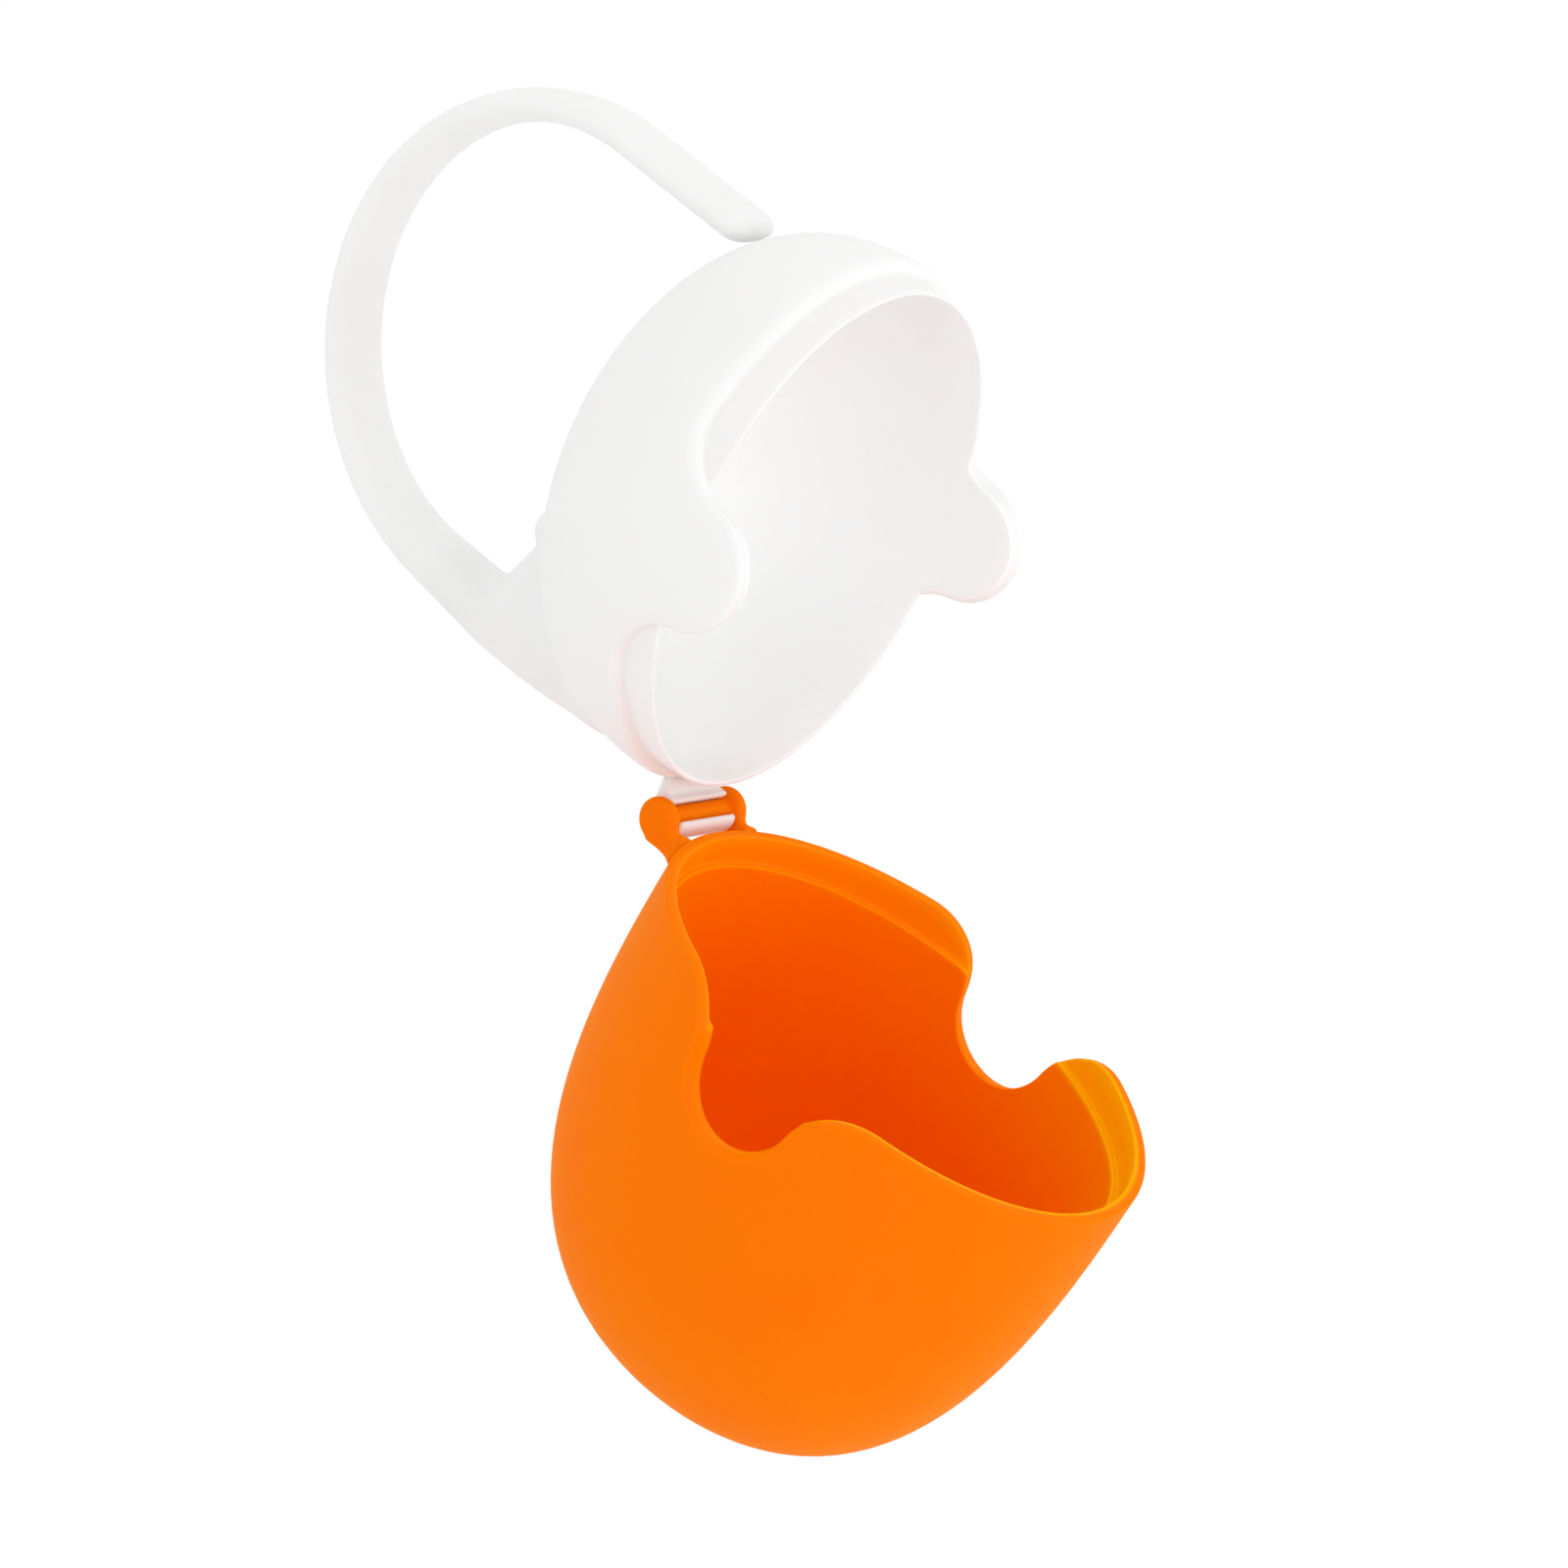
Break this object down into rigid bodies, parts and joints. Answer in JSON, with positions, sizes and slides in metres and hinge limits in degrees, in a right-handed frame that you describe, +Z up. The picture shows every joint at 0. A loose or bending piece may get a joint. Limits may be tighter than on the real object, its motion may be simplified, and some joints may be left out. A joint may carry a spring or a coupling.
{
  "type": "pacifier case",
  "caption": "Egg-shaped snap-hinged case for a pacifier: a deep orange bowl and a white domed lid with finger notches, and a wide open hook on the lid for hanging it from a strap.",
  "frame": {"origin": "on the inner face of the hook's bow, at its middle, where a strap or bar bears when the case hangs", "axes": "+X along the hinge pin and along the strap through the hook; +Y from the bowl past the hinge to the hook, with the lid open; +Z up out of the bowl's mouth"},
  "size_m": [0.057, 0.1583, 0.129],
  "materials": {
    "orange_plastic": "glossy, slightly translucent orange polypropylene",
    "white_plastic": "satin translucent white polypropylene"
  },
  "bodies": {
    "lid": {"lid": "white_plastic"},
    "bowl": {"bowl": "orange_plastic"},
    "hook": {"hook_arm": "white_plastic"}
  },
  "joints": [
    {"name": "hinge", "type": "hinge", "parent": "lid", "child": "bowl", "pos_m": [0, -0.07982, -0.02593], "axis": [1, 0, 0], "range_deg": [-100, 80]},
    {"name": "hook_flex", "type": "hinge", "parent": "lid", "child": "hook", "pos_m": [0, -0.03646, -0.02538], "axis": [-1, 0, 0], "range_deg": [0, 12], "stiffness_Nm_per_rad": 0.8}
  ]
}
